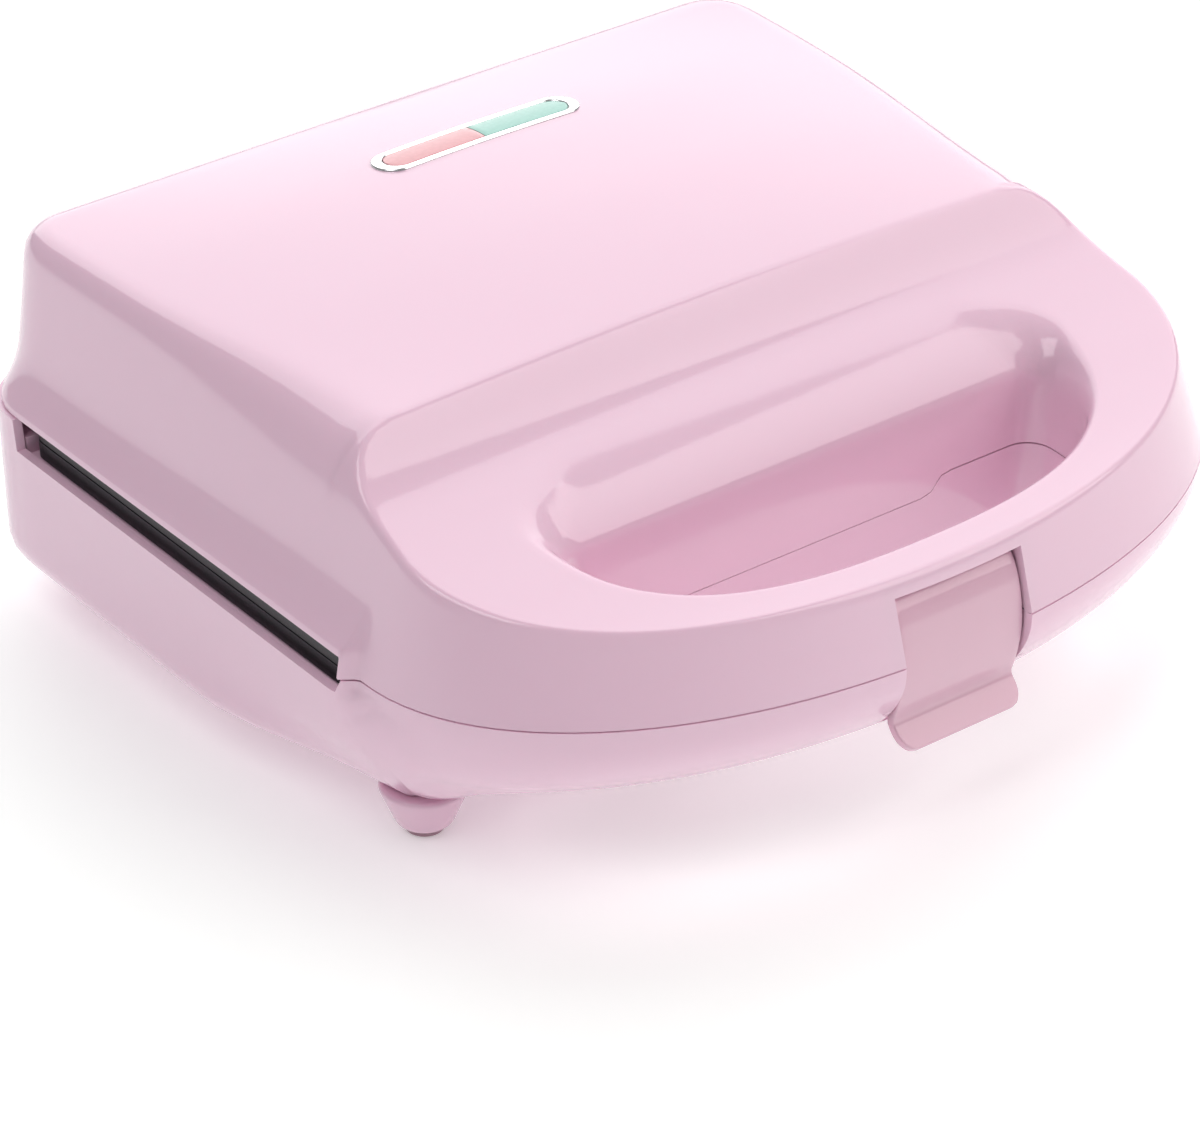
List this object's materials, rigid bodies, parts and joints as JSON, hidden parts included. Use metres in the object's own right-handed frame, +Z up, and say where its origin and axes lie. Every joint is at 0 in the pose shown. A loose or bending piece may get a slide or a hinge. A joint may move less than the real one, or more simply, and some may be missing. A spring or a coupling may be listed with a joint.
{
  "type": "waffle maker",
  "caption": "Electric waffle maker with a hinged domed lid, a rounded front handle with a hand hole, grid plates, an indicator and a swinging front latch.",
  "frame": {"origin": "centre of the bounding box at its bottom, on the surface the feet stand on", "axes": "+X to the user's right, +Y from the handle towards the hinge, +Z up"},
  "size_m": [0.2264, 0.2284, 0.0957],
  "materials": {
    "pink_plastic": "glossy moulded",
    "latch_plastic": "glossy moulded",
    "coated_cast_aluminium": "dark ceramic non-stick coating",
    "heater_steel": "heat-tinted",
    "zinc_steel": "zinc plated",
    "sheet_aluminium": "mill",
    "foot_rubber": "matt",
    "sleeve_fabric": "braided glass fibre",
    "black_plastic": "fine grained",
    "white_ceramic": "unglazed steatite",
    "bezel_chrome": "bright",
    "red_lens": "translucent, polished",
    "green_lens": "translucent, polished",
    "lamp_glass": "clear"
  },
  "bodies": {
    "base": {"base_shell": "pink_plastic", "base_deck": "pink_plastic", "lower_plate": "coated_cast_aluminium", "lower_element": "heater_steel", "lower_reflector": "sheet_aluminium", "lower_thermostat": "white_ceramic", "lower_element_strap_left": "zinc_steel", "lower_element_strap_right": "zinc_steel", "lower_plate_screw_left": "zinc_steel", "lower_plate_screw_right": "zinc_steel", "thermal_fuse": "zinc_steel", "terminal_block": "white_ceramic", "cord_gland": "black_plastic", "lead_sleeve_base": "sleeve_fabric", "hinge_pin_left": "zinc_steel", "hinge_pin_right": "zinc_steel", "base_screw_front_left": "zinc_steel", "base_screw_front_right": "zinc_steel", "base_screw_rear_left": "zinc_steel", "base_screw_rear_right": "zinc_steel", "foot_pad_front_left": "foot_rubber", "foot_pad_front_right": "foot_rubber", "foot_pad_rear_left": "foot_rubber", "foot_pad_rear_right": "foot_rubber"},
    "lid": {"lid_shell": "pink_plastic", "lid_deck": "pink_plastic", "upper_plate": "coated_cast_aluminium", "upper_element": "heater_steel", "upper_reflector": "sheet_aluminium", "upper_thermostat": "white_ceramic", "upper_element_strap_left": "zinc_steel", "upper_element_strap_right": "zinc_steel", "upper_plate_screw_left": "zinc_steel", "upper_plate_screw_right": "zinc_steel", "lid_screw_front_left": "zinc_steel", "lid_screw_front_right": "zinc_steel", "lid_screw_rear_left": "zinc_steel", "lid_screw_rear_right": "zinc_steel", "lead_sleeve_lid": "sleeve_fabric", "indicator_bezel": "bezel_chrome", "red_lens": "red_lens", "green_lens": "green_lens", "lamp_holder": "white_ceramic", "red_lamp": "lamp_glass", "green_lamp": "lamp_glass", "latch_pin": "zinc_steel"},
    "latch": {"latch": "latch_plastic"}
  },
  "joints": [
    {"name": "lid_hinge", "type": "hinge", "parent": "base", "child": "lid", "pos_m": [0, 0.1082, 0.047], "axis": [-1, 0, 0], "range_deg": [0, 105]},
    {"name": "latch_pivot", "type": "hinge", "parent": "lid", "child": "latch", "pos_m": [0, -0.105, 0.057], "axis": [-1, 0, 0], "range_deg": [0, 35]}
  ]
}
